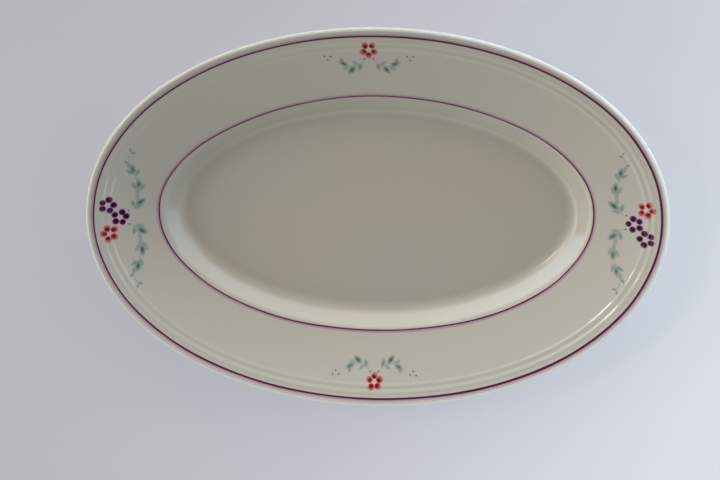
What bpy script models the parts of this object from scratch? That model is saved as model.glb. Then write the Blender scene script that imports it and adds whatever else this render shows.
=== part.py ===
"""China serving platter: a fired, glazed oval dish with painted lines and flower sprays on its rim.

Metres, +Z up. The platter lies on its foot ring: the origin is the centre of the foot's bottom plane,
+X runs along the platter's length and +Y across it. A place on the dish is given by its inset, the
distance in from the outer edge along both half-axes, and by its angle round the oval. A slope is the
angle at which the upper face falls towards the well.
"""

import math

import bmesh
import bpy

# Outline
HALF_LENGTH = 0.170
HALF_WIDTH = 0.115
EDGE_FULLNESS = 0.0045  # swell of the outer edge at its four shoulders, as a fraction of its radius
WELL_FULLNESS = -0.0080  # the same at the well line, which is a little slimmer than an ellipse
SEGMENTS = 80

# Profile, from the edge of the rim to the foot
HEIGHT = 0.035
RIM_SLOPE = math.radians(22.5)
RIM_THICKNESS = 0.0038
BEAD_INSETS = (0.0067, 0.0105)  # outer side of each raised bead
BEAD_WIDTH = 0.0038
BEAD_HEIGHT = 0.00024
WELL_INSET = 0.0420
SHOULDER_RADIUS = 0.0090
WALL_SLOPE = math.radians(48)
COVE_RADIUS = 0.0100
FLOOR_HEIGHT = 0.0070
BASE_HEIGHT = 0.0025
FOOT_INSET = 0.0565
FOOT_WIDTH = 0.0030
FOOT_ROUNDING = 0.0004

# Painted decoration: thin enamel skins that lie just clear of the faceted glaze
ENAMEL_THICKNESS = 0.00015
LINE_GAP = 0.00008
SPRIG_GAP = 0.0004
LINE_WIDTH = 0.0014
RIM_LINE_INSET = 0.0049
WELL_LINE_INSET = 0.0421
PETALS = 5
PETAL_RADIUS = 0.0020
PETAL_DISTANCE = 0.0033  # from the flower's centre to the centre of each petal
STEM_WIDTH = 0.0005

# Where each group of sprigs stands: the point it grows round, and the heading of its outer side
SIDE_PLACES = {"right": ((0.1507, 0.0004), 0), "left": ((-0.1511, 0.0002), 180)}
END_PLACES = {"top": ((-0.0032, 0.1018), 90), "bottom": ((-0.0008, -0.1007), -90)}

# Sprigs, in their group's own frame: +x towards the edge of the platter, +y counter-clockwise
# A flower is its centre, the heading of one of its petals, and its enamel.
SIDE_FLOWERS = {
    "rose": (0.0056, 0.0087, 0, "rose_enamel"),
    "plum_inner": (0.0, -0.0006, 180, "plum_enamel"),
    "plum_outer": (0.0065, -0.0086, 180, "plum_enamel"),
}
END_FLOWERS = {"rose": (0.0, 0.0, 180, "rose_enamel")}
SIDE_STEM = (
    (-0.0066, 0.0044),
    (-0.0090, 0.0066),
    (-0.0111, 0.0107),
    (-0.0117, 0.0155),
    (-0.0112, 0.0212),
    (-0.0096, 0.0268),
    (-0.0066, 0.0331),
    (-0.0076, 0.0372),
    (-0.0095, 0.0408),
)
END_STEM = ((-0.0066, 0.0030), (-0.0094, 0.0054), (-0.0109, 0.0092), (-0.0099, 0.0136), (-0.0072, 0.0176))

# Leaves along a stem: how far along it each grows, its turn from the stem's heading, and its length
SIDE_LEAVES = (
    (0.09, 26, 0.0070),
    (0.045, 30, 0.0048),
    (0.06, -62, 0.0046),
    (0.17, -28, 0.0044),
    (0.27, -15, 0.0042),
    (0.33, 30, 0.0052),
    (0.36, 13, 0.0060),
    (0.35, -28, 0.0054),
    (0.575, 42, 0.0048),
    (0.60, 10, 0.0062),
    (0.61, -38, 0.0044),
    (0.70, 5, 0.0046),
    (0.80, -45, 0.0028),
    (0.97, 48, 0.0026),
    (0.99, -40, 0.0026),
)
END_LEAVES = (
    (0.14, 20, 0.0044),
    (0.37, 25, 0.0058),
    (0.25, -50, 0.0038),
    (0.62, -15, 0.0060),
    (0.58, 35, 0.0040),
    (0.80, -36, 0.0036),
)
LEAF_SLIMNESS = 0.46  # a leaf's width as a fraction of its length

COLOURS = {
    "china": (0.66, 0.65, 0.60, 0.12),
    "plum_line": (0.13, 0.05, 0.10, 0.15),
    "plum_enamel": (0.06, 0.006, 0.07, 0.18),
    "rose_enamel": (0.42, 0.05, 0.07, 0.18),
    "leaf_enamel": (0.13, 0.21, 0.21, 0.18),
}


def clear_scene():
    for thing in list(bpy.context.scene.objects):
        bpy.data.objects.remove(thing, do_unlink=True)


def make_material(name):
    """A Principled material: red, green, blue and roughness from COLOURS."""
    red, green, blue, roughness = COLOURS[name]
    material = bpy.data.materials.new(name)
    material.use_nodes = True
    shader = material.node_tree.nodes["Principled BSDF"]
    shader.inputs["Base Color"].default_value = (red, green, blue, 1)
    shader.inputs["Roughness"].default_value = roughness
    shader.inputs["Metallic"].default_value = 0
    return material


def add_object(name, mesh_builder, material=None):
    """Turns a bmesh into a smooth-shaded object with its sharp edges kept."""
    bmesh.ops.recalc_face_normals(mesh_builder, faces=mesh_builder.faces)
    mesh = bpy.data.meshes.new(name)
    mesh_builder.to_mesh(mesh)
    mesh_builder.free()
    if material:
        mesh.materials.append(material)
    mesh.shade_smooth()
    mesh.set_sharp_from_angle(angle=math.radians(40))
    thing = bpy.data.objects.new(name, mesh)
    bpy.context.scene.collection.objects.link(thing)
    return thing


# The oval and the profile


def oval_point(inset, angle):
    """The plan position at an inset and an angle."""
    share = min(inset / WELL_INSET, 1)
    fullness = EDGE_FULLNESS + (WELL_FULLNESS - EDGE_FULLNESS) * share
    swell = 1 + fullness * math.sin(2 * angle) ** 2
    x = (HALF_LENGTH - inset) * math.cos(angle) * swell
    y = (HALF_WIDTH - inset) * math.sin(angle) * swell
    return x, y


def rim_height(inset):
    """Height of the rim's upper face where it has no bead."""
    radius = RIM_THICKNESS / 2
    tangent_inset = radius + radius * math.sin(RIM_SLOPE)
    tangent_height = HEIGHT - radius + radius * math.cos(RIM_SLOPE)
    return tangent_height - (inset - tangent_inset) * math.tan(RIM_SLOPE)


def bead_height(inset):
    """Rise of the two raised beads above the plain rim."""
    for start in BEAD_INSETS:
        if start < inset < start + BEAD_WIDTH:
            return BEAD_HEIGHT * math.sin(math.pi * (inset - start) / BEAD_WIDTH) ** 2
    return 0


def bend(start, from_slope, to_slope, radius, steps):
    """Points (inset, height, slope) of a round bend, going inwards from start, which is left out."""
    inset, height = start
    side = 1 if to_slope > from_slope else -1
    points = []
    for step in range(1, steps + 1):
        slope = from_slope + (to_slope - from_slope) * step / steps
        points.append(
            (
                inset + side * radius * (math.sin(slope) - math.sin(from_slope)),
                height - side * radius * (math.cos(from_slope) - math.cos(slope)),
                slope,
            )
        )
    return points


def well_profile(shoulder_steps, cove_steps):
    """The upper face from the well line, over the shoulder and down the wall, to the floor's edge."""
    line = (WELL_INSET, rim_height(WELL_INSET))
    shoulder = bend(line, RIM_SLOPE, WALL_SLOPE, SHOULDER_RADIUS, shoulder_steps)
    inset, height, slope = shoulder[-1]
    cove_drop = COVE_RADIUS * (1 - math.cos(WALL_SLOPE))
    wall_drop = height - FLOOR_HEIGHT - cove_drop
    foot_of_wall = (inset + wall_drop / math.tan(WALL_SLOPE), height - wall_drop)
    cove = bend(foot_of_wall, WALL_SLOPE, 0, COVE_RADIUS, cove_steps)
    return [(*line, RIM_SLOPE), *shoulder, (*foot_of_wall, WALL_SLOPE), *cove]


def upper_rings():
    """(inset, height) of each ring of the upper face, from the floor's edge out to the rim's edge."""
    rings = [(inset, height) for inset, height, _ in reversed(well_profile(3, 5))]
    insets = [start + BEAD_WIDTH * part / 4 for start in BEAD_INSETS for part in range(4)]
    insets.append(BEAD_INSETS[-1] + BEAD_WIDTH)
    insets.append((insets[-1] + WELL_INSET) / 2)
    rings += [(inset, rim_height(inset) + bead_height(inset)) for inset in sorted(insets, reverse=True)]
    return rings


def edge_rings():
    """The half-round edge of the rim, from its upper face over to its underside."""
    radius = RIM_THICKNESS / 2
    rings = []
    for step in range(9):
        turn = RIM_SLOPE - math.pi * step / 8
        rings.append((radius + radius * math.sin(turn), HEIGHT - radius + radius * math.cos(turn)))
    return rings


def under_rings():
    """The underside, a wall's thickness from the upper face, from the rim in to the foot."""
    profile = well_profile(2, 4)[:-1]
    floor_inset = profile[-1][0]
    middle = (RIM_THICKNESS + WELL_INSET) / 2
    profile.insert(0, (middle, rim_height(middle), RIM_SLOPE))
    rings = []
    for inset, height, slope in profile:
        share = inset / floor_inset
        thickness = RIM_THICKNESS + (FLOOR_HEIGHT - BASE_HEIGHT - RIM_THICKNESS) * share
        rings.append((inset - thickness * math.sin(slope), height - thickness * math.cos(slope)))
    return rings


def foot_rings():
    """The foot ring, from its outer root, round its flat bottom, to the base inside it."""
    outer = FOOT_INSET
    inner = FOOT_INSET + FOOT_WIDTH
    return [
        (outer - FOOT_ROUNDING, BASE_HEIGHT + FOOT_ROUNDING),
        (outer, FOOT_ROUNDING),
        (outer + FOOT_ROUNDING, 0),
        (inner - FOOT_ROUNDING, 0),
        (inner, FOOT_ROUNDING),
        (inner + FOOT_ROUNDING, BASE_HEIGHT),
    ]


def add_ring(builder, inset, height, scale=1):
    verts = []
    for step in range(SEGMENTS):
        x, y = oval_point(inset, 2 * math.pi * step / SEGMENTS)
        verts.append(builder.verts.new((x * scale, y * scale, height)))
    return verts


def bridge(builder, first, second):
    for step, corner in enumerate(first):
        after = (step + 1) % len(first)
        builder.faces.new((corner, first[after], second[after], second[step]))


def close_disc(builder, ring, inset, height):
    """Fills a flat oval with one inner ring and a fan to its centre."""
    inner = add_ring(builder, inset, height, scale=0.5)
    centre = builder.verts.new((0, 0, height))
    bridge(builder, ring, inner)
    for step, corner in enumerate(inner):
        builder.faces.new((corner, inner[(step + 1) % len(inner)], centre))


def make_body(materials):
    """The platter itself: rim, beads, shoulder, well, base and foot ring, pressed and fired as one."""
    builder = bmesh.new()
    profile = upper_rings() + edge_rings() + under_rings() + foot_rings()
    rings = [add_ring(builder, inset, height) for inset, height in profile]
    for first, second in zip(rings, rings[1:]):
        bridge(builder, first, second)
    close_disc(builder, rings[0], *profile[0])
    close_disc(builder, rings[-1], *profile[-1])
    add_object("platter_body", builder, materials["china"])


# The painted decoration


def inset_at(x, y):
    """The inset of the oval through a plan position."""
    low = 0.0
    high = HALF_WIDTH * 0.9
    while high - low > 1e-8:
        inset = (low + high) / 2
        angle = math.atan2(y / (HALF_WIDTH - inset), x / (HALF_LENGTH - inset))
        if math.hypot(*oval_point(inset, angle)) > math.hypot(x, y):
            low = inset
        else:
            high = inset
    return low


def drape(builder, gap):
    """Lifts a flat plate onto the rim, which it then follows at this gap."""
    for vert in builder.verts:
        inset = inset_at(vert.co.x, vert.co.y)
        vert.co.z += rim_height(inset) + bead_height(inset) + gap


def make_line(name, inset, materials):
    """A painted line right round the dish."""
    builder = bmesh.new()
    insets = (inset - LINE_WIDTH / 2, inset + LINE_WIDTH / 2)
    heights = [rim_height(side) + LINE_GAP for side in insets]
    corners = [
        (insets[0], heights[0]),
        (insets[1], heights[1]),
        (insets[1], heights[1] + ENAMEL_THICKNESS),
        (insets[0], heights[0] + ENAMEL_THICKNESS),
    ]
    rings = [add_ring(builder, *corner) for corner in corners]
    for first, second in zip(rings, rings[1:] + rings[:1]):
        bridge(builder, first, second)
    add_object(name, builder, materials["plum_line"])


def placed(place, x, y):
    """A plan position from a position in a sprig group's own frame."""
    (origin_x, origin_y), heading = place
    turn = math.radians(heading)
    return (
        origin_x + x * math.cos(turn) - y * math.sin(turn),
        origin_y + x * math.sin(turn) + y * math.cos(turn),
    )


def petal_reach(angle):
    """Distance from a flower's centre to its edge, which is five overlapping round petals."""
    part = 2 * math.pi / PETALS
    turn = (angle + part / 2) % part - part / 2
    beside = PETAL_DISTANCE * math.sin(turn)
    return PETAL_DISTANCE * math.cos(turn) + math.sqrt(PETAL_RADIUS**2 - beside**2)


def make_flower(name, place, centre, petal_heading, material):
    """A flower of five overlapping round petals."""
    outline_points = 6 * PETALS
    middle = placed(place, *centre)
    builder = bmesh.new()
    outlines = []
    for height in (0, ENAMEL_THICKNESS):
        rings = []
        for scale in (0.5, 1):
            ring = []
            for step in range(outline_points):
                turn = 2 * math.pi * step / outline_points
                heading = turn + math.radians(place[1] + petal_heading)
                reach = petal_reach(turn) * scale
                x = middle[0] + reach * math.cos(heading)
                y = middle[1] + reach * math.sin(heading)
                ring.append(builder.verts.new((x, y, height)))
            rings.append(ring)
        hub = builder.verts.new((*middle, height))
        for step, corner in enumerate(rings[0]):
            builder.faces.new((corner, rings[0][(step + 1) % outline_points], hub))
        bridge(builder, *rings)
        outlines.append(rings[1])
    bridge(builder, *outlines)
    drape(builder, SPRIG_GAP)
    add_object(name, builder, material)


def point_along(path, share):
    """The point at a share of a path's length, and the path's heading there."""
    lengths = [math.dist(first, second) for first, second in zip(path, path[1:])]
    left = share * sum(lengths)
    step = 0
    while step < len(lengths) - 1 and left > lengths[step]:
        left -= lengths[step]
        step += 1
    (x, y), (next_x, next_y) = path[step], path[step + 1]
    part = left / lengths[step]
    return x + (next_x - x) * part, y + (next_y - y) * part, math.atan2(next_y - y, next_x - x)


def leaf_outline(stem, share, turn, length):
    """A pointed leaf growing out of a stem."""
    x, y, heading = point_along(stem, share)
    heading += math.radians(turn)
    half_width = length * LEAF_SLIMNESS / 2
    outline = []
    for along, side in [(0, 0.5), (0, -0.5), (0.35, -1), (0.65, -0.85), (1, 0), (0.65, 0.85), (0.35, 1)]:
        forward = length * along
        aside = half_width * side
        outline.append(
            (
                x + forward * math.cos(heading) - aside * math.sin(heading),
                y + forward * math.sin(heading) + aside * math.cos(heading),
            )
        )
    return outline


def stem_outline(stem):
    """A thin strip along a stem: up its right side and down its left."""
    sides = []
    for step, (x, y) in enumerate(stem):
        before = stem[max(step - 1, 0)]
        after = stem[min(step + 1, len(stem) - 1)]
        run = math.dist(before, after)
        across_x = (after[1] - before[1]) / run * STEM_WIDTH / 2
        across_y = (before[0] - after[0]) / run * STEM_WIDTH / 2
        sides.append(((x + across_x, y + across_y), (x - across_x, y - across_y)))
    return [right for right, _ in sides] + [left for _, left in reversed(sides)]


def make_plate(name, place, outline):
    """A flat plate of an outline given in its group's own frame, as an object."""
    builder = bmesh.new()
    corners = [placed(place, *point) for point in outline]
    bottom = [builder.verts.new((x, y, 0)) for x, y in corners]
    top = [builder.verts.new((x, y, ENAMEL_THICKNESS)) for x, y in corners]
    builder.faces.new(bottom)
    builder.faces.new(top)
    bridge(builder, bottom, top)
    return add_object(name, builder)


def make_spray(name, place, side, stem, leaves, material):
    """A spray of leaves: flat plates joined into one, then laid on the rim. Side -1 mirrors it."""
    stem = [(x, side * y) for x, y in stem]
    base = make_plate(name + "_stem", place, stem_outline(stem))
    helpers = [base]
    for count, (share, turn, length) in enumerate(leaves):
        helper = make_plate(f"{name}_leaf_{count}", place, leaf_outline(stem, share, side * turn, length))
        helpers.append(helper)
        union = base.modifiers.new(helper.name, "BOOLEAN")
        union.operation = "UNION"
        union.solver = "EXACT"
        union.object = helper
    graph = bpy.context.evaluated_depsgraph_get()
    builder = bmesh.new()
    builder.from_mesh(base.evaluated_get(graph).to_mesh())
    for helper in helpers:
        bpy.data.objects.remove(helper, do_unlink=True)
    bmesh.ops.dissolve_limit(builder, angle_limit=0.001, verts=builder.verts, edges=builder.edges)
    bmesh.ops.triangulate(builder, faces=builder.faces)
    drape(builder, SPRIG_GAP)
    add_object(name, builder, material)


def make_sprigs(materials):
    """All flowers and leaf sprays: three flowers at each end, one at the middle of each long side."""
    groups = (
        (SIDE_PLACES, SIDE_FLOWERS, SIDE_STEM, SIDE_LEAVES),
        (END_PLACES, END_FLOWERS, END_STEM, END_LEAVES),
    )
    for places, flowers, stem, leaves in groups:
        for where, place in places.items():
            for flower, (x, y, petal_heading, enamel) in flowers.items():
                make_flower(f"flower_{where}_{flower}", place, (x, y), petal_heading, materials[enamel])
            for half, side in (("first", 1), ("second", -1)):
                name = f"leaf_spray_{where}_{half}"
                make_spray(name, place, side, stem, leaves, materials["leaf_enamel"])


clear_scene()
enamels = {name: make_material(name) for name in COLOURS}
make_body(enamels)
make_line("rim_line", RIM_LINE_INSET, enamels)
make_line("well_line", WELL_LINE_INSET, enamels)
make_sprigs(enamels)
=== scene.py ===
"""Looks of the china serving platter: its glazed body, painted lines, flowers and leaf sprays.

Metres, in the frame of the CAD model: the platter lies on its foot at z = 0, +X along its length.
As in the CAD model, a place on the dish is given by its inset from the outer edge and its angle round
the oval. Every painted mark is a thin lens of enamel whose rim dips just under the glaze, so that it
grows out of the china with no step.
"""

import math
import random

import bpy
import numpy as np
from mathutils import Matrix, Vector


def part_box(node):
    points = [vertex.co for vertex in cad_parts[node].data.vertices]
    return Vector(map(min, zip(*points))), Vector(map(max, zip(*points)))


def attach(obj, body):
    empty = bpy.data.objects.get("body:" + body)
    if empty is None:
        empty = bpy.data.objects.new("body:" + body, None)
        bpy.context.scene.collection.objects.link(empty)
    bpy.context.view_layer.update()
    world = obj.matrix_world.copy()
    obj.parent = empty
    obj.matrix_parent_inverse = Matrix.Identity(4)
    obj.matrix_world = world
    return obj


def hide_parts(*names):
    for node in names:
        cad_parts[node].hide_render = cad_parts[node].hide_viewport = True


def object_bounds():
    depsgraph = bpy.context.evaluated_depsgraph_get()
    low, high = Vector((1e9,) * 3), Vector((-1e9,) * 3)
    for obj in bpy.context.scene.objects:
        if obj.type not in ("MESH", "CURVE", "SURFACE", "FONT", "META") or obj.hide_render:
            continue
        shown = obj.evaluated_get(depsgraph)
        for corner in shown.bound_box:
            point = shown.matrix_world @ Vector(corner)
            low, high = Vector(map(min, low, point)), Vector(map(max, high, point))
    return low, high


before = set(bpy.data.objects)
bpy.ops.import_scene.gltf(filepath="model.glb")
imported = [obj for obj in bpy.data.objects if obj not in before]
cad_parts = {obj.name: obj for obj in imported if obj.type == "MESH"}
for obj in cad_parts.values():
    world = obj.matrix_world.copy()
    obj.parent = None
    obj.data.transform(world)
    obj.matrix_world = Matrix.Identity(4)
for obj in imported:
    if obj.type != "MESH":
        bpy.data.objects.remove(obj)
cad_low, cad_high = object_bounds()

MM = 0.001

# The dish: overall sizes come from the frame, and the profile repeats the CAD model's. The fullness is
# how far the oval swells past an ellipse between its axes, at the edge and at the well line.
HALF_LENGTH = (cad_high[0] - cad_low[0]) / 2
HALF_WIDTH = (cad_high[1] - cad_low[1]) / 2
HEIGHT = cad_high[2]
FLOOR_HEIGHT = 7 * MM
BASE_HEIGHT = 2.5 * MM
EDGE_FULLNESS = 0.0045
WELL_FULLNESS = -0.0080
RIM_SLOPE = math.radians(22.5)
RIM_THICKNESS = 3.8 * MM
EDGE_RADIUS = RIM_THICKNESS / 2
BEAD_INSETS = (6.7 * MM, 10.5 * MM)
BEAD_WIDTH = 3.8 * MM
BEAD_HEIGHT = 0.24 * MM
WELL_INSET = 42 * MM
SHOULDER_RADIUS = 9 * MM
WALL_SLOPE = math.radians(48)
COVE_RADIUS = 10 * MM
FOOT_INSET = 56.5 * MM
FOOT_WIDTH = 3 * MM
FOOT_ROUNDING = 0.4 * MM
BODY_SEGMENTS = 320

# Enamel: how high the densest paint of a mark stands, how deep its thin rim dips under the glaze and its
# hidden underside lies, and the step of the grid that flowers and leaves are traced on
LINE_LIFT = 0.02 * MM
PETAL_LIFT = 0.11 * MM
LEAF_LIFT = 0.08 * MM
ENAMEL_SINK = 0.004 * MM
ENAMEL_ROOT = 0.03 * MM
MARK_STEP = 0.12 * MM
PAINT_LEVEL = 0.05  # the density at which a mark begins, where bare china is 0 and the darkest dab is 1

# The two painted lines: where they lie, and in each its dark core and its faint fringes, the wider and
# denser one on the outer side
RIM_LINE_INSET = 4.9 * MM
WELL_LINE_INSET = 42.2 * MM
LINE_CORE_REACH = 0.56 * MM
LINE_OUTER_REACH = 2.4 * MM
LINE_INNER_REACH = 1.4 * MM
OUTER_FRINGE_DENSITY = 0.36
INNER_FRINGE_DENSITY = 0.22
LINE_SEGMENTS = 640


def smooth(value, low, high):
    """0 below low, 1 above high, and a soft step between."""
    share = np.clip((value - low) / (high - low), 0, 1)
    return share * share * (3 - 2 * share)


# ---------------------------------------------------------------- the oval and the profile


def oval_point(inset, angle):
    """The plan position at an inset from the outer edge and an angle round the oval."""
    share = np.minimum(inset / WELL_INSET, 1)
    fullness = EDGE_FULLNESS + (WELL_FULLNESS - EDGE_FULLNESS) * share
    swell = 1 + fullness * np.sin(2 * angle) ** 2
    return (HALF_LENGTH - inset) * np.cos(angle) * swell, (HALF_WIDTH - inset) * np.sin(angle) * swell


def inset_at(x, y):
    """The inset of the oval through each plan position."""
    low = np.zeros_like(x)
    high = np.full_like(x, HALF_WIDTH * 0.9)
    for _ in range(24):
        inset = (low + high) / 2
        angle = np.arctan2(y / (HALF_WIDTH - inset), x / (HALF_LENGTH - inset))
        outside = np.hypot(*oval_point(inset, angle)) > np.hypot(x, y)
        low = np.where(outside, inset, low)
        high = np.where(outside, high, inset)
    return low


def rim_height(inset):
    """Height of the rim's upper face where it has no bead."""
    tangent_inset = EDGE_RADIUS * (1 + math.sin(RIM_SLOPE))
    tangent_height = HEIGHT - EDGE_RADIUS * (1 - math.cos(RIM_SLOPE))
    return tangent_height - (inset - tangent_inset) * math.tan(RIM_SLOPE)


def bead_height(inset):
    """Rise of the two raised beads above the plain rim."""
    rise = 0
    for start in BEAD_INSETS:
        share = np.clip((inset - start) / BEAD_WIDTH, 0, 1)
        rise = rise + BEAD_HEIGHT * np.sin(math.pi * share) ** 2
    return rise


def bend(start, from_slope, to_slope, radius, steps):
    """Points (inset, height, slope) of a round bend, going inwards from start, which is left out."""
    inset, height = start
    side = 1 if to_slope > from_slope else -1
    slopes = [from_slope + (to_slope - from_slope) * step / steps for step in range(1, steps + 1)]
    return [
        (
            inset + side * radius * (math.sin(slope) - math.sin(from_slope)),
            height - side * radius * (math.cos(from_slope) - math.cos(slope)),
            slope,
        )
        for slope in slopes
    ]


def well_profile(shoulder_steps, cove_steps):
    """The upper face from the well line, over the shoulder and down the wall, to the floor's edge."""
    line = (WELL_INSET, rim_height(WELL_INSET))
    shoulder = bend(line, RIM_SLOPE, WALL_SLOPE, SHOULDER_RADIUS, shoulder_steps)
    inset, height, _ = shoulder[-1]
    wall_drop = height - FLOOR_HEIGHT - COVE_RADIUS * (1 - math.cos(WALL_SLOPE))
    foot_of_wall = (inset + wall_drop / math.tan(WALL_SLOPE), height - wall_drop)
    cove = bend(foot_of_wall, WALL_SLOPE, 0, COVE_RADIUS, cove_steps)
    return [(*line, RIM_SLOPE), *shoulder, (*foot_of_wall, WALL_SLOPE), *cove]


def edge_profile(steps):
    """The half-round edge of the rim, from its upper face over to its underside."""
    turns = [RIM_SLOPE - math.pi * step / steps for step in range(steps + 1)]
    return [(EDGE_RADIUS * (1 + math.sin(t)), HEIGHT - EDGE_RADIUS * (1 - math.cos(t))) for t in turns]


def under_profile():
    """The underside, a wall's thickness from the upper face, from the rim in to the foot."""
    upper = well_profile(10, 16)
    floor_inset = upper[-1][0]
    for share in (0.8, 0.6, 0.4, 0.2):
        inset = WELL_INSET * share
        upper.insert(0, (inset, rim_height(inset), RIM_SLOPE))
    upper.sort()
    points = []
    for inset, height, slope in upper:
        thickness = RIM_THICKNESS + (FLOOR_HEIGHT - BASE_HEIGHT - RIM_THICKNESS) * inset / floor_inset
        points.append((inset - thickness * math.sin(slope), height - thickness * math.cos(slope)))
    return [point for point in points if 2 * EDGE_RADIUS < point[0] < FOOT_INSET - 2 * FOOT_ROUNDING]


def foot_profile(steps=5):
    """The foot ring: outer face, rounded bottom edges, flat bottom, inner face, and its root fillets."""
    outer = FOOT_INSET
    inner = FOOT_INSET + FOOT_WIDTH
    r = FOOT_ROUNDING
    quarter = [math.pi / 2 * step / steps for step in range(steps + 1)]
    points = [(outer - r + r * math.sin(q), BASE_HEIGHT + r * math.cos(q)) for q in quarter]
    points += [(outer + r - r * math.cos(q), r - r * math.sin(q)) for q in quarter]
    points += [(inner - r + r * math.sin(q), r - r * math.cos(q)) for q in quarter]
    points += [(inner + r - r * math.cos(q), BASE_HEIGHT - r + r * math.sin(q)) for q in quarter]
    return points


UPPER = np.array([(inset, height) for inset, height, _ in well_profile(24, 32)])


def upper_height(inset):
    """Height of the upper face at an inset: edge, rim with its beads, shoulder, wall and floor."""
    inset = np.asarray(inset, float)
    tangent_inset = EDGE_RADIUS * (1 + math.sin(RIM_SLOPE))
    over_edge = np.sqrt(np.maximum(EDGE_RADIUS**2 - (EDGE_RADIUS - inset) ** 2, 0))
    edge = HEIGHT - EDGE_RADIUS + over_edge
    rim = rim_height(inset) + bead_height(inset)
    well = np.interp(inset, UPPER[:, 0], UPPER[:, 1])
    return np.where(inset < tangent_inset, edge, np.where(inset < WELL_INSET, rim, well))


# ---------------------------------------------------------------- meshes


def add_piece(name, points, faces, material, attributes):
    """A smooth mesh object on the body "root", with its float attributes."""
    mesh = bpy.data.meshes.new(name)
    mesh.from_pydata(points, [], faces)
    for key, values in attributes.items():
        layer = mesh.attributes.new(key, "FLOAT", "POINT")
        layer.data.foreach_set("value", np.asarray(values, np.float32))
    mesh.materials.append(material)
    mesh.shade_smooth()
    piece = bpy.data.objects.new(name, mesh)
    bpy.context.scene.collection.objects.link(piece)
    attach(piece, "root")
    return piece


def ring_faces(first, second, count):
    """Quads between two closed rings of points, whose first points have these numbers."""
    return [
        (first + step, first + (step + 1) % count, second + (step + 1) % count, second + step)
        for step in range(count)
    ]


def body_rings():
    """The body's rings as (inset, height, plan scale), from the floor over the edge to the base."""
    rim_insets = np.concatenate(
        [
            np.linspace(WELL_INSET, BEAD_INSETS[1] + BEAD_WIDTH, 14)[1:-1],
            np.linspace(BEAD_INSETS[1] + BEAD_WIDTH, BEAD_INSETS[0], 33),
            np.linspace(BEAD_INSETS[0], EDGE_RADIUS * (1 + math.sin(RIM_SLOPE)), 8)[1:-1],
        ]
    )
    profile = [(inset, height) for inset, height, _ in reversed(well_profile(18, 24))]
    profile += [(inset, float(upper_height(inset))) for inset in rim_insets]
    profile += edge_profile(24)
    profile += under_profile() + foot_profile()
    floor_inset, base_inset = profile[0][0], profile[-1][0]
    disc_scales = (0.15, 0.4, 0.6, 0.8, 0.93)
    rings = [(floor_inset, FLOOR_HEIGHT, scale) for scale in disc_scales]
    rings += [(inset, height, 1) for inset, height in profile]
    rings += [(base_inset, BASE_HEIGHT, scale) for scale in reversed(disc_scales)]
    return rings


def body_faces(ring_count):
    """Quads between the body's rings, and a fan round each of the two middle points after them."""
    faces = []
    for step in range(ring_count - 1):
        faces += ring_faces(step * BODY_SEGMENTS, (step + 1) * BODY_SEGMENTS, BODY_SEGMENTS)
    upper_middle = ring_count * BODY_SEGMENTS
    last_ring = (ring_count - 1) * BODY_SEGMENTS
    for step in range(BODY_SEGMENTS):
        after = (step + 1) % BODY_SEGMENTS
        faces.append((upper_middle, after, step))
        faces.append((upper_middle + 1, last_ring + step, last_ring + after))
    return [tuple(reversed(face)) for face in faces]


def make_body(material):
    """The platter at full resolution: upper face, half-round edge, underside, foot and base.

    Its "bare" attribute marks the foot's unglazed bottom. The other attribute is a painted reflection:
    it whitens the edge, most at one side, as if the edge mirrored bright surroundings.
    """
    rings = body_rings()
    angles = np.arange(BODY_SEGMENTS) * 2 * math.pi / BODY_SEGMENTS
    points = []
    bare = []
    lip_painted_reflection = []
    for inset, height, scale in rings:
        x, y = oval_point(inset, angles)
        points += list(zip(x * scale, y * scale, np.full_like(x, height)))
        is_foot = scale == 1 and height < 0.6 * FOOT_ROUNDING
        bare += [1.0 if is_foot else 0.0] * BODY_SEGMENTS
        # painted reflection: the edge is whitened, most towards one side, for the bright surroundings it
        # would mirror
        lip_painted_reflection += list((1 - smooth(inset, 1.4 * MM, 2.8 * MM)) * (0.5 + 0.5 * np.cos(angles + 0.7)))
    points += [(0, 0, FLOOR_HEIGHT), (0, 0, BASE_HEIGHT)]
    bare += [0.0, 0.0]
    lip_painted_reflection += [0.0, 0.0]
    faces = body_faces(len(rings))
    body = add_piece("glazed_platter", points, faces, material, {"bare": bare, "lip_painted_reflection": lip_painted_reflection})
    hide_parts("platter_body")


def enamel_lift(density, lift):
    """How far a mark of this density stands out of the glaze; its rim lies just under it."""
    rise = lift * smooth(density, PAINT_LEVEL, 0.6)
    return rise - ENAMEL_SINK * (1 - smooth(density, PAINT_LEVEL, 0.2))


def paint_line(name, node, material, inset, wander, thickness):
    """A hand-painted line round the dish, as a closed skin in place of a CAD node.

    Wander, in metres, and thickness, as a factor, are functions of the angle.
    """
    count = LINE_SEGMENTS
    across = np.linspace(-1, 1, 21)
    angles = np.arange(count) * 2 * math.pi / count
    middle = inset + wander(angles)
    core_reach = LINE_CORE_REACH * thickness(angles)

    def side_inset(share):
        return middle + share * (LINE_OUTER_REACH if share < 0 else LINE_INNER_REACH)

    points = []
    density = []
    for share in across:
        side = side_inset(share)
        core = np.exp(-((abs(side - middle) / core_reach) ** 4))
        fringe_density = OUTER_FRINGE_DENSITY if share < 0 else INNER_FRINGE_DENSITY
        fringe = fringe_density * (1 - smooth(abs(share), 0.35, 1.0))
        value = np.maximum(core, fringe)
        x, y = oval_point(side, angles)
        points += list(zip(x, y, upper_height(side) + enamel_lift(value, LINE_LIFT)))
        density += list(value)
    for share in (1, -1):
        side = side_inset(share)
        x, y = oval_point(side, angles)
        points += list(zip(x, y, upper_height(side) - ENAMEL_ROOT))
        density += [0.0] * count
    rows = len(across) + 2
    faces = []
    for row in range(rows):
        faces += ring_faces(row * count, (row + 1) % rows * count, count)
    line = add_piece(name, points, faces, material, {"paint": density})
    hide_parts(node)


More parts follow.
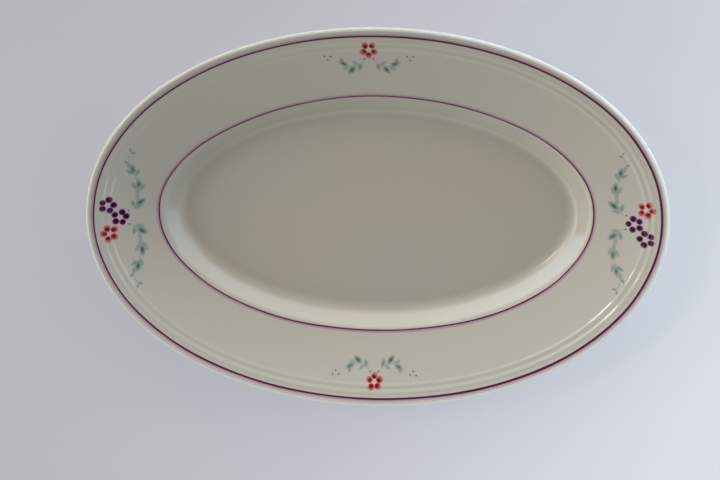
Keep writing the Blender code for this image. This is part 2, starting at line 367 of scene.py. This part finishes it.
def trace_field(field, low, high, step):
    """Covers the part of a plan box where the field passes PAINT_LEVEL with small faces that end on it.

    Returns plan points, faces, and the field at each point.
    """
    columns = int((high[0] - low[0]) / step) + 2
    rows = int((high[1] - low[1]) / step) + 2
    xs = low[0] + np.arange(columns) * step
    ys = low[1] + np.arange(rows) * step
    grid_x, grid_y = np.meshgrid(xs, ys, indexing="ij")
    values = field(grid_x, grid_y)
    inside = values > PAINT_LEVEL
    points, densities, faces, numbers = [], [], [], {}

    def number_of(key, x, y, value):
        if key not in numbers:
            numbers[key] = len(points)
            points.append((x, y))
            densities.append(value)
        return numbers[key]

    touched = inside[:-1, :-1] | inside[1:, :-1] | inside[1:, 1:] | inside[:-1, 1:]
    for i, j in np.argwhere(touched):
        corners = [(i, j), (i + 1, j), (i + 1, j + 1), (i, j + 1)]
        face = []
        for corner, after in zip(corners, corners[1:] + corners[:1]):
            if inside[corner]:
                face.append(number_of(corner, xs[corner[0]], ys[corner[1]], values[corner]))
            if inside[corner] != inside[after]:
                share = (PAINT_LEVEL - values[corner]) / (values[after] - values[corner])
                x = xs[corner[0]] + (xs[after[0]] - xs[corner[0]]) * share
                y = ys[corner[1]] + (ys[after[1]] - ys[corner[1]]) * share
                face.append(number_of((min(corner, after), max(corner, after)), x, y, PAINT_LEVEL))
        faces.append(face)
    return np.array(points), faces, np.array(densities)


def paint_mark(name, node, material, field, margin, lift):
    """Enamel wherever a field is dense enough, as a closed skin on the rim in place of a CAD node."""
    node_low, node_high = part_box(node)
    low = (node_low.x - margin, node_low.y - margin)
    high = (node_high.x + margin, node_high.y + margin)
    plan, faces, density = trace_field(field, low, high, MARK_STEP)
    glaze = upper_height(inset_at(plan[:, 0], plan[:, 1]))
    top = np.column_stack([plan, glaze + enamel_lift(density, lift)])
    bottom = np.column_stack([plan, glaze - ENAMEL_ROOT])
    count = len(plan)
    edges = dict.fromkeys(edge for face in faces for edge in zip(face, face[1:] + face[:1]))
    outline = [(start, end) for start, end in edges if (end, start) not in edges]
    skirt = [(end, start, start + count, end + count) for start, end in outline]
    closed = faces + [[number + count for number in reversed(face)] for face in faces] + skirt
    points = np.concatenate([top, bottom]).tolist()
    mark = add_piece(name, points, closed, material, {"paint": np.concatenate([density, density])})
    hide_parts(node)


# ---------------------------------------------------------------- flowers and leaves

PETALS = 5
SIDE_HEADINGS = {"right": 0, "left": 180, "top": 90, "bottom": -90}
PLACES = {
    "right": (150.7 * MM, 0.4 * MM),
    "left": (-151.1 * MM, 0.2 * MM),
    "top": (-3.2 * MM, 101.8 * MM),
    "bottom": (-0.8 * MM, -100.7 * MM),
}

# How a petal is brushed, in millimetres: its distance from the heart, its wash's radius, and the radius
# and outward shift of the dark dab on it. A negative shift sets the dab nearer the heart.
PETAL_STROKES = {
    "plum": (3.40, 2.25, 1.50, -0.25),
    "rose": (3.50, 2.50, 1.60, -0.70),
}

# The CAD model's stems, in millimetres in their group's own frame: +x towards the edge of the dish
SIDE_STEM = (
    (-6.6, 4.4),
    (-9.0, 6.6),
    (-11.1, 10.7),
    (-11.7, 15.5),
    (-11.2, 21.2),
    (-9.6, 26.8),
    (-6.6, 33.1),
    (-7.6, 37.2),
    (-9.5, 40.8),
)
END_STEM = ((-6.6, 3.0), (-9.4, 5.4), (-10.9, 9.2), (-9.9, 13.6), (-7.2, 17.6))

# Leaves grow where the CAD model's do and are a little longer. Each has how far along the stem it grows,
# its turn from the stem's heading in degrees, its length in millimetres, and how dark its heart is
SIDE_LEAVES = (
    (0.09, 26, 7.4, 1.0),
    (0.045, 34, 5.4, 0.25),
    (0.06, -62, 5.0, 0.35),
    (0.17, -30, 4.8, 0.1),
    (0.27, -20, 4.6, 0.1),
    (0.33, 36, 5.8, 0.2),
    (0.36, 10, 6.6, 1.0),
    (0.35, -34, 6.0, 0.2),
    (0.575, 46, 5.4, 0.25),
    (0.60, 8, 6.8, 0.9),
    (0.61, -42, 5.0, 0.45),
    (0.70, 5, 5.0, 0.15),
    (0.80, -45, 3.2, 0.3),
    (0.97, 52, 3.0, 0.35),
    (0.99, -40, 3.0, 0.25),
)
END_LEAVES = (
    (0.14, 24, 5.0, 0.45),
    (0.37, 25, 6.4, 1.0),
    (0.25, -54, 4.4, 0.15),
    (0.62, -12, 6.6, 0.8),
    (0.58, 40, 4.6, 0.1),
    (0.80, -40, 4.2, 0.4),
)
SIDE_DOTS = ((-5.1, 4.1),)
END_DOTS = ((-5.9, 2.5), (-4.4, 21.6), (-6.6, 23.4), (-4.3, 25.2))
DOT_RADIUS = 0.75 * MM
LEAF_SLIMNESS = 0.70  # a leaf's width as a fraction of its length

# Densities of the brush strokes
PETAL_WASH = 0.50
PETAL_DAB = 0.50
LEAF_WASH = 0.24
LEAF_RIM = 0.10
LEAF_VEIN = 0.10
LEAF_HEART = 0.66
STEM_DENSITY = 0.30
DOT_DENSITY = 0.78


def centre_of(node):
    """The plan centre of the box round a CAD flower."""
    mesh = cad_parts[node].data
    points = np.array([vert.co for vert in mesh.vertices])
    return (points.min(0)[:2] + points.max(0)[:2]) / 2


def flower_field(node, stroke, petal_heading, chance):
    """Density of a five-petalled flower: soft round petals, each with a darker dab on it."""
    centre = centre_of(node)
    distance, wash_radius, dab_radius, dab_shift = (size * MM for size in PETAL_STROKES[stroke])
    petals = []
    for count in range(PETALS):
        heading = petal_heading + 2 * math.pi * count / PETALS + chance.uniform(-0.09, 0.09)
        reach = distance * chance.uniform(0.94, 1.05)
        middle = centre + reach * np.array([math.cos(heading), math.sin(heading)])
        lean = heading + chance.uniform(-0.6, 0.6)
        dab = middle + dab_shift * np.array([math.cos(lean), math.sin(lean)])
        size = chance.uniform(0.92, 1.06)
        stretch = chance.uniform(0.9, 1.12)
        petals.append((middle, dab, lean, size, stretch, chance.uniform(0.8, 1)))

    def field(x, y):
        total = np.zeros_like(x)
        for middle, dab, lean, size, stretch, tone in petals:
            away = np.hypot(x - middle[0], y - middle[1]) / (wash_radius * size)
            along = (x - dab[0]) * math.cos(lean) + (y - dab[1]) * math.sin(lean)
            aside = (y - dab[1]) * math.cos(lean) - (x - dab[0]) * math.sin(lean)
            dab_away = np.hypot(along / stretch, aside * stretch) / (dab_radius * size)
            wash = PETAL_WASH * (1 - smooth(away, 0.70, 1.0))
            dark = PETAL_DAB * tone * (1 - smooth(dab_away, 0.45, 1.15))
            total = np.maximum(total, wash + dark)
        return total

    return field


def point_along(path, share):
    """The point at a share of a path's length, and the path's heading there."""
    lengths = [math.dist(first, second) for first, second in zip(path, path[1:])]
    left = share * sum(lengths)
    step = 0
    while step < len(lengths) - 1 and left > lengths[step]:
        left -= lengths[step]
        step += 1
    (x, y), (next_x, next_y) = path[step], path[step + 1]
    part = left / lengths[step]
    return x + (next_x - x) * part, y + (next_y - y) * part, math.atan2(next_y - y, next_x - x)


def leaf_density(along, across, tone):
    """Density of one leaf, by the place along and across it in leaf lengths."""
    half_width = LEAF_SLIMNESS / 2 * np.sin(math.pi * np.clip(along, 0, 1) ** 0.8) ** 0.8 + 1e-6
    edge = np.abs(across) / half_width
    wash = LEAF_WASH * (1 - smooth(edge, 0.4, 1.0))
    # colour gathers at the wet rim of the stroke, and a fine vein runs along its middle
    rim = LEAF_RIM * np.exp(-(((edge - 0.74) / 0.16) ** 2))
    vein_ends = smooth(along, 0.05, 0.3) * (1 - smooth(along, 0.7, 1))
    vein = LEAF_VEIN * np.exp(-((across / 0.035) ** 2)) * vein_ends
    heart = np.exp(-(((along - 0.46) / 0.27) ** 2) - (across / 0.15) ** 2)
    return wash + rim + vein + LEAF_HEART * tone * heart * (1 - smooth(edge, 0.7, 1.0))


def stem_density(x, y, stem):
    """Density of a thread of paint along a path."""
    total = np.zeros_like(x)
    for start, end in zip(stem, stem[1:]):
        run = np.subtract(end, start)
        share = np.clip(((x - start[0]) * run[0] + (y - start[1]) * run[1]) / (run @ run), 0, 1)
        away = np.hypot(x - start[0] - share * run[0], y - start[1] - share * run[1])
        total = np.maximum(total, STEM_DENSITY * (1 - smooth(away, 0.1 * MM, 0.40 * MM)))
    return total


def spray_field(where, side, stem, leaves, dots, chance):
    """Density of a leaf spray: watery leaves with darker hearts, a thread of a stem, and dots."""
    origin = PLACES[where]
    turn = math.radians(SIDE_HEADINGS[where])
    stem = [(x * MM, side * y * MM) for x, y in stem]
    dots = [(x * MM, side * y * MM) for x, y in dots]
    shapes = []
    for share, leaf_turn, length, tone in leaves:
        x, y, heading = point_along(stem, share)
        heading += side * math.radians(leaf_turn) + chance.uniform(-0.08, 0.08)
        size = length * MM * chance.uniform(0.96, 1.1)
        shapes.append((x, y, heading, size, tone * chance.uniform(0.8, 1.1)))

    def field(world_x, world_y):
        x = (world_x - origin[0]) * math.cos(turn) + (world_y - origin[1]) * math.sin(turn)
        y = (world_y - origin[1]) * math.cos(turn) - (world_x - origin[0]) * math.sin(turn)
        total = stem_density(x, y, stem)
        for leaf_x, leaf_y, heading, length, tone in shapes:
            along = ((x - leaf_x) * math.cos(heading) + (y - leaf_y) * math.sin(heading)) / length
            across = ((y - leaf_y) * math.cos(heading) - (x - leaf_x) * math.sin(heading)) / length
            total = np.maximum(total, leaf_density(along, across, tone))
        for dot_x, dot_y in dots:
            away = np.hypot(x - dot_x, y - dot_y) / DOT_RADIUS
            total = np.maximum(total, DOT_DENSITY * (1 - smooth(away, 0.35, 1.15)))
        return total

    return field


# ---------------------------------------------------------------- materials


class Nodes:
    """A node tree under construction, with short ways to add and link nodes."""

    def __init__(self, tree, coordinates):
        self.tree = tree
        self.place = tree.nodes.new("ShaderNodeTexCoord").outputs[coordinates]

    def add(self, kind, inputs=(), **settings):
        """A new node with these settings; an input is a number, a colour or another node's socket."""
        node = self.tree.nodes.new(kind)
        for key, value in settings.items():
            setattr(node, key, value)
        for key, value in dict(inputs).items():
            self.feed(node.inputs[key], value)
        return node

    def feed(self, socket, value):
        """Links another node's socket, or sets the value here."""
        if isinstance(value, bpy.types.NodeSocket):
            self.tree.links.new(value, socket)
        else:
            socket.default_value = value

    def attribute(self, key):
        return self.add("ShaderNodeAttribute", attribute_name=key).outputs["Fac"]

    def noise(self, scale, detail=2.0, roughness=0.5):
        node = self.add(
            "ShaderNodeTexNoise",
            {"Vector": self.place, "Scale": scale, "Detail": detail, "Roughness": roughness},
        )
        return node.outputs["Fac"]

    def ramp(self, value, from_low, from_high, to_low=0.0, to_high=1.0, soft=False):
        """A value carried from one range to another, clamped at its ends."""
        ranges = {"From Min": from_low, "From Max": from_high, "To Min": to_low, "To Max": to_high}
        node = self.add(
            "ShaderNodeMapRange",
            {"Value": value, **ranges},
            interpolation_type="SMOOTHSTEP" if soft else "LINEAR",
        )
        return node.outputs["Result"]

    def math(self, operation, first, second=0.0):
        node = self.add("ShaderNodeMath", {0: first, 1: second}, operation=operation)
        return node.outputs[0]

    def mix(self, share, first, second, blend="MIX"):
        node = self.add("ShaderNodeMix", {"Factor": share}, data_type="RGBA", blend_type=blend)
        self.feed(node.inputs[6], first)
        self.feed(node.inputs[7], second)
        return node.outputs[2]

    def bump(self, height, distance, strength=1.0, normal=None):
        inputs = {"Height": height, "Distance": distance, "Strength": strength}
        if normal:
            inputs["Normal"] = normal
        return self.add("ShaderNodeBump", inputs).outputs["Normal"]


class Shader(Nodes):
    """A material and its Principled surface."""

    def __init__(self, name):
        self.material = bpy.data.materials.new(name)
        self.material.use_nodes = True
        super().__init__(self.material.node_tree, "Object")
        self.surface = self.tree.nodes["Principled BSDF"]


# Colours, as linear red, green, blue and alpha
CHINA = (0.462, 0.430, 0.386, 1)
CHINA_WARM = (0.473, 0.430, 0.372, 1)
CHINA_COOL = (0.444, 0.427, 0.398, 1)
# painted reflection: the whiter colour laid on the dish's edge
LIP_PAINTED_REFLECTION = (0.90, 0.92, 0.95, 1)
SPECK = (0.20, 0.15, 0.09, 1)
BISQUE = (0.66, 0.62, 0.53, 1)
BISQUE_SHADE = (0.50, 0.45, 0.37, 1)

# Each enamel: the colours of its thin halo, its body and its dense core, and how mottled its density is
ENAMELS = {
    "line_enamel": ((0.40, 0.29, 0.34, 1), (0.21, 0.07, 0.14, 1), (0.050, 0.012, 0.028, 1), 0.05),
    "plum_enamel": ((0.31, 0.15, 0.30, 1), (0.12, 0.010, 0.095, 1), (0.012, 0.0005, 0.010, 1), 0.06),
    "rose_enamel": ((0.55, 0.33, 0.31, 1), (0.47, 0.115, 0.115, 1), (0.17, 0.006, 0.013, 1), 0.08),
    "leaf_enamel": ((0.29, 0.315, 0.295, 1), (0.18, 0.225, 0.215, 1), (0.055, 0.090, 0.092, 1), 0.08),
}

GLAZE_IOR = 1.5
ENAMEL_IOR = 1.4
GLAZE_ROUGHNESS = (0.055, 0.085)
ENAMEL_ROUGHNESS = (0.07, 0.26)  # where the paint is thin, and where it is dense
BISQUE_ROUGHNESS = 0.8


def china_colour(shader):
    """Fired china seen through clear glaze: faint cloudy tints, and a few pinhead iron specks."""
    tint = shader.ramp(shader.noise(14, 3), 0.35, 0.65, soft=True)
    colour = shader.mix(tint, CHINA_WARM, CHINA_COOL)
    colour = shader.mix(0.5, colour, CHINA)
    grain = shader.ramp(shader.noise(900, 2), 0.3, 0.7, 0.985, 1.015)
    grey = shader.add("ShaderNodeCombineColor", {0: grain, 1: grain, 2: grain}).outputs[0]
    colour = shader.mix(1.0, colour, grey, "MULTIPLY")
    cells = shader.add("ShaderNodeTexVoronoi", {"Vector": shader.place, "Scale": 55, "Randomness": 1})
    dot = shader.ramp(cells.outputs["Distance"], 0.004, 0.010, 1.0, 0.0, soft=True)
    chosen = shader.math("GREATER_THAN", cells.outputs["Color"], 0.86)
    specks = shader.math("MULTIPLY", shader.math("MULTIPLY", dot, chosen), 0.5)
    return shader.mix(specks, colour, SPECK)


def glaze_surface(shader, colour, roughness, ior):
    """A glassy surface with a faint ripple and fine unevenness from firing."""
    shader.feed(shader.surface.inputs["Base Color"], colour)
    shader.feed(shader.surface.inputs["Roughness"], roughness)
    ripple = shader.bump(shader.noise(38, 1), 0.00006)
    skin = shader.bump(shader.noise(420, 2), 0.000004, normal=ripple)
    shader.feed(shader.surface.inputs["Normal"], skin)
    shader.surface.inputs["IOR"].default_value = ior
    shader.surface.inputs["Metallic"].default_value = 0


def china_material():
    """The whole dish: glazed china with fine wear in its polish, and a bare, matt foot."""
    shader = Shader("glazed_china")
    bare = shader.attribute("bare")
    edge = shader.math("ADD", bare, shader.ramp(shader.noise(700, 3), 0.3, 0.7, -0.2, 0.2))
    foot = shader.ramp(edge, 0.4, 0.6)
    grit = shader.mix(shader.ramp(shader.noise(2500, 2), 0.4, 0.7), BISQUE, BISQUE_SHADE)
    # the edge takes a painted reflection, whiter than the china
    glazed = shader.mix(shader.attribute("lip_painted_reflection"), china_colour(shader), LIP_PAINTED_REFLECTION)
    colour = shader.mix(foot, glazed, grit)
    polish = shader.ramp(shader.noise(220, 4, 0.7), 0.3, 0.7, *GLAZE_ROUGHNESS)
    roughness = shader.ramp(foot, 0.0, 1.0, polish, BISQUE_ROUGHNESS)
    glaze_surface(shader, colour, roughness, GLAZE_IOR)
    return shader.material


def enamel_material(name):
    """Enamel over the china: by density, a glossy thin halo, a clear body and a softer, dark core."""
    halo, body, core, mottle = ENAMELS[name]
    shader = Shader(name)
    density = shader.attribute("paint")
    streaks = shader.ramp(shader.noise(1400, 3), 0.3, 0.7, -mottle, mottle)
    uneven = shader.math("MULTIPLY", streaks, shader.ramp(density, 0.1, 0.4))
    density = shader.math("ADD", density, uneven)
    colour = shader.mix(shader.ramp(density, PAINT_LEVEL, 0.34, soft=True), china_colour(shader), halo)
    colour = shader.mix(shader.ramp(density, 0.28, 0.56, soft=True), colour, body)
    colour = shader.mix(shader.ramp(density, 0.52, 0.92, soft=True), colour, core)
    roughness = shader.ramp(density, 0.3, 0.6, *ENAMEL_ROUGHNESS)
    glaze_surface(shader, colour, roughness, ENAMEL_IOR)
    return shader.material


# ---------------------------------------------------------------- building the object


def waves(*terms):
    """A smooth function of the angle round the dish: a sum of (height, how many times, phase)."""
    return lambda angle: sum(height * np.sin(times * angle + phase) for height, times, phase in terms)


def make_lines(material):
    """The two plum lines, with the slow wander and uneven weight of a hand on a turning dish."""
    paint_line(
        "rim_line_paint",
        "rim_line",
        material,
        RIM_LINE_INSET,
        waves(
            (0.21 * MM, 1, -1.1),
            (0.26 * MM, 2, -1.6),
            (0.11 * MM, 3, 2.3),
            (0.11 * MM, 4, -3.0),
            (0.10 * MM, 5, 2.1),
            (0.05 * MM, 17, 0.3),
        ),
        waves((1.0, 0, math.pi / 2), (0.24, 1, 1.9), (0.06, 5, 0.5), (0.05, 19, 0.0)),
    )
    paint_line(
        "well_line_paint",
        "well_line",
        material,
        WELL_LINE_INSET,
        waves(
            (0.20 * MM, 1, 2.0),
            (0.70 * MM, 2, -1.7),
            (0.33 * MM, 3, 1.75),
            (0.38 * MM, 5, 2.7),
            (0.06 * MM, 14, 1.0),
        ),
        waves((0.70, 0, math.pi / 2), (0.10, 1, 1.9), (0.08, 6, 0.5), (0.05, 23, 0.0)),
    )


def make_flower(where, flower, enamels, chance):
    """One painted flower at a side of the dish, such as "rose" or "plum_inner"."""
    node = f"flower_{where}_{flower}"
    stroke = flower.split("_")[0]
    slot = f"{stroke}_enamel"
    # the right and the left rose have a petal towards the edge, the other flowers one towards the well
    petal_turn = 0 if where in ("right", "left") and stroke == "rose" else math.pi
    heading = math.radians(SIDE_HEADINGS[where]) + petal_turn
    field = flower_field(node, stroke, heading, chance)
    paint_mark(f"{node}_petals", node, enamels[slot], field, 1.2 * MM, PETAL_LIFT)


def make_sprays(where, material, chance):
    """The two leaf sprays at a side of the dish, mirrored but for small differences of the hand."""
    side_spray = (SIDE_STEM, SIDE_LEAVES, SIDE_DOTS)
    end_spray = (END_STEM, END_LEAVES, END_DOTS)
    stem, leaves, dots = side_spray if where in ("right", "left") else end_spray
    for half, side in (("first", 1), ("second", -1)):
        node = f"leaf_spray_{where}_{half}"
        field = spray_field(where, side, stem, leaves, dots, chance)
        paint_mark(f"{node}_leaves", node, material, field, 9 * MM, LEAF_LIFT)


def make_object():
    """The dish, its lines, and the flowers and sprays at each of its four sides."""
    make_body(china_material())
    make_lines(enamel_material("line_enamel"))
    enamels = {name: enamel_material(name) for name in ("plum_enamel", "rose_enamel", "leaf_enamel")}
    chance = random.Random(7)
    for where in SIDE_HEADINGS:
        flowers = ("rose", "plum_inner", "plum_outer") if where in ("right", "left") else ("rose",)
        for flower in flowers:
            make_flower(where, flower, enamels, chance)
        make_sprays(where, enamels["leaf_enamel"], chance)


# ---------------------------------------------------------------- stage, camera and light

FLOOR_REACH = 4.0
FLOOR_COLOUR = (0.39, 0.39, 0.415, 1)
FLOOR_CLOUD = (0.41, 0.41, 0.435, 1)
FLOOR_GLOW_LEFT = (0.165, 0.16, 0.20, 1)
FLOOR_GLOW_RIGHT = (0.40, 0.43, 0.50, 1)

CAMERA_PLACE = (0.04427, 0.25393, 0.88125)
CAMERA_AIM = (-0.0086, -0.0097, 0.034)
CAMERA_ROLL = math.radians(-0.37)
CAMERA_LENS = 76.16
CAMERA_SENSOR = 36

# Light of the surroundings, as red, green and blue, by the side and the height that it comes from
CEILING = (0.01, 0.01, 0.015)
FAR_LOW = (4.3, 5.4, 6.9)
FAR_MIDDLE = (1.8, 1.2, 1.2)
LEFT_MIDDLE = (3.7, 3.8, 2.2)
RIGHT_MIDDLE = (0.6, 1.1, 1.3)
FAR_UPPER = (1.3, 1.35, 0.8)
LEFT_UPPER = (0.95, 0.9, 1.5)

# Soft boxes, four warm and three cool: azimuth and elevation in degrees, width and height in metres,
# power in watts, and colour
LIGHT_DISTANCE = 1.6
LIGHTS = (
    ("key", 150, 49, (0.24, 0.11), 1.6, (1.0, 0.91, 0.84)),
    ("key_left_wing", 168, 45, (0.34, 0.09), 0.9, (1.0, 0.91, 0.84)),
    ("key_right_wing", 130, 52, (0.50, 0.09), 0.5, (1.0, 0.93, 0.88)),
    ("low_lamp", 157, 30, (0.24, 0.08), 0.8, (1.0, 0.97, 0.92)),
    ("window", 27, 35, (0.30, 0.09), 0.9, (0.96, 1.0, 1.0)),
    ("soft_panel_far", 18, 51, (0.9, 0.14), 1.1, (0.93, 1.0, 1.0)),
    ("soft_panel_near", -28, 41, (0.9, 0.14), 0.9, (0.93, 1.0, 1.0)),
)


def make_floor():
    """A plain pale floor of faintly lavender paper, lit a little from within, most at its right end."""
    shader = Shader("pale_floor")
    cloud = shader.ramp(shader.noise(3, 2), 0.3, 0.7, soft=True)
    colour = shader.mix(cloud, FLOOR_COLOUR, FLOOR_CLOUD)
    along, across, _ = shader.add("ShaderNodeSeparateXYZ", {0: shader.place}).outputs
    glow = shader.mix(shader.ramp(along, -0.25, 0.25, soft=True), FLOOR_GLOW_LEFT, FLOOR_GLOW_RIGHT)
    glow_strength = shader.ramp(across, -0.05, 0.20, 1.0, 0.66, soft=True)
    shader.feed(shader.surface.inputs["Base Color"], colour)
    shader.feed(shader.surface.inputs["Emission Color"], glow)
    shader.feed(shader.surface.inputs["Emission Strength"], glow_strength)
    shader.surface.inputs["Roughness"].default_value = 0.6
    mesh = bpy.data.meshes.new("floor")
    corners = [(x * FLOOR_REACH, y * FLOOR_REACH, 0) for x, y in ((-1, -1), (1, -1), (1, 1), (-1, 1))]
    mesh.from_pydata(corners, [], [(0, 1, 2, 3)])
    mesh.materials.append(shader.material)
    floor = bpy.data.objects.new("floor", mesh)
    bpy.context.scene.collection.objects.link(floor)


def make_camera():
    """Looks down on the platter from its far long side, rolled a touch, with a portrait lens."""
    position = Vector(CAMERA_PLACE)
    back = (position - Vector(CAMERA_AIM)).normalized()
    right = Vector((0, 1, 0)).cross(back).normalized()
    right = Matrix.Rotation(CAMERA_ROLL, 3, back) @ right
    up = back.cross(right)
    camera = bpy.data.objects.new("camera", bpy.data.cameras.new("camera"))
    camera.data.lens = CAMERA_LENS
    camera.data.sensor_width = CAMERA_SENSOR
    turn = Matrix((right, up, back)).transposed().to_4x4()
    camera.matrix_world = Matrix.Translation(position) @ turn
    bpy.context.scene.collection.objects.link(camera)
    bpy.context.scene.camera = camera


def add_light(name, azimuth, elevation, size, power, colour):
    """A soft box that faces the platter from an azimuth (0 is +X) and elevation in degrees."""
    light = bpy.data.lights.new(name, "AREA")
    light.shape = "RECTANGLE"
    light.size, light.size_y = size
    light.energy = power
    light.color = colour
    a, e = math.radians(azimuth), math.radians(elevation)
    direction = Vector((math.cos(a) * math.cos(e), math.sin(a) * math.cos(e), math.sin(e)))
    lamp = bpy.data.objects.new(name, light)
    lamp.location = direction * LIGHT_DISTANCE
    lamp.rotation_euler = direction.to_track_quat("Z", "Y").to_euler()
    bpy.context.scene.collection.objects.link(lamp)


def make_world():
    """Bright, pale surroundings below a dark ceiling: the light falls off from the horizon upwards.

    It is brightest, and cool, behind the platter's far long side (+Y), warmer towards its left end (-X),
    and fainter towards its right end (+X).
    """
    world = bpy.data.worlds.new("studio")
    world.use_nodes = True
    bpy.context.scene.world = world
    sky = Nodes(world.node_tree, "Generated")
    x, y, z = sky.add("ShaderNodeSeparateXYZ", {0: sky.place}).outputs
    low = sky.ramp(z, 0.0, 0.35, 1.0, 0.0, soft=True)
    up_to_middle = sky.ramp(z, 0.0, 0.7, 1.0, 0.0, soft=True)
    middle = sky.math("SUBTRACT", up_to_middle, low)
    upper = sky.math("SUBTRACT", sky.ramp(z, 0.2, 1.0, 1.0, 0.0, soft=True), up_to_middle)
    towards_far = sky.ramp(y, -1.0, 1.0)
    towards_left = sky.ramp(x, -1.0, 0.6, 1.0, 0.0)
    towards_right = sky.ramp(x, -0.6, 1.0)
    light = CEILING
    for band, side, colour in (
        (low, towards_far, FAR_LOW),
        (middle, towards_far, FAR_MIDDLE),
        (middle, towards_left, LEFT_MIDDLE),
        (middle, towards_right, RIGHT_MIDDLE),
        (upper, towards_far, FAR_UPPER),
        (upper, towards_left, LEFT_UPPER),
    ):
        share = sky.math("MULTIPLY", band, side)
        part = sky.add("ShaderNodeVectorMath", {0: colour, "Scale": share}, operation="SCALE").outputs[0]
        light = sky.add("ShaderNodeVectorMath", {0: light, 1: part}, operation="ADD").outputs[0]
    sky.feed(world.node_tree.nodes["Background"].inputs["Color"], light)


make_object()
make_floor()
make_camera()
make_world()
for light in LIGHTS:
    add_light(*light)
bpy.context.scene.view_settings.view_transform = "Standard"
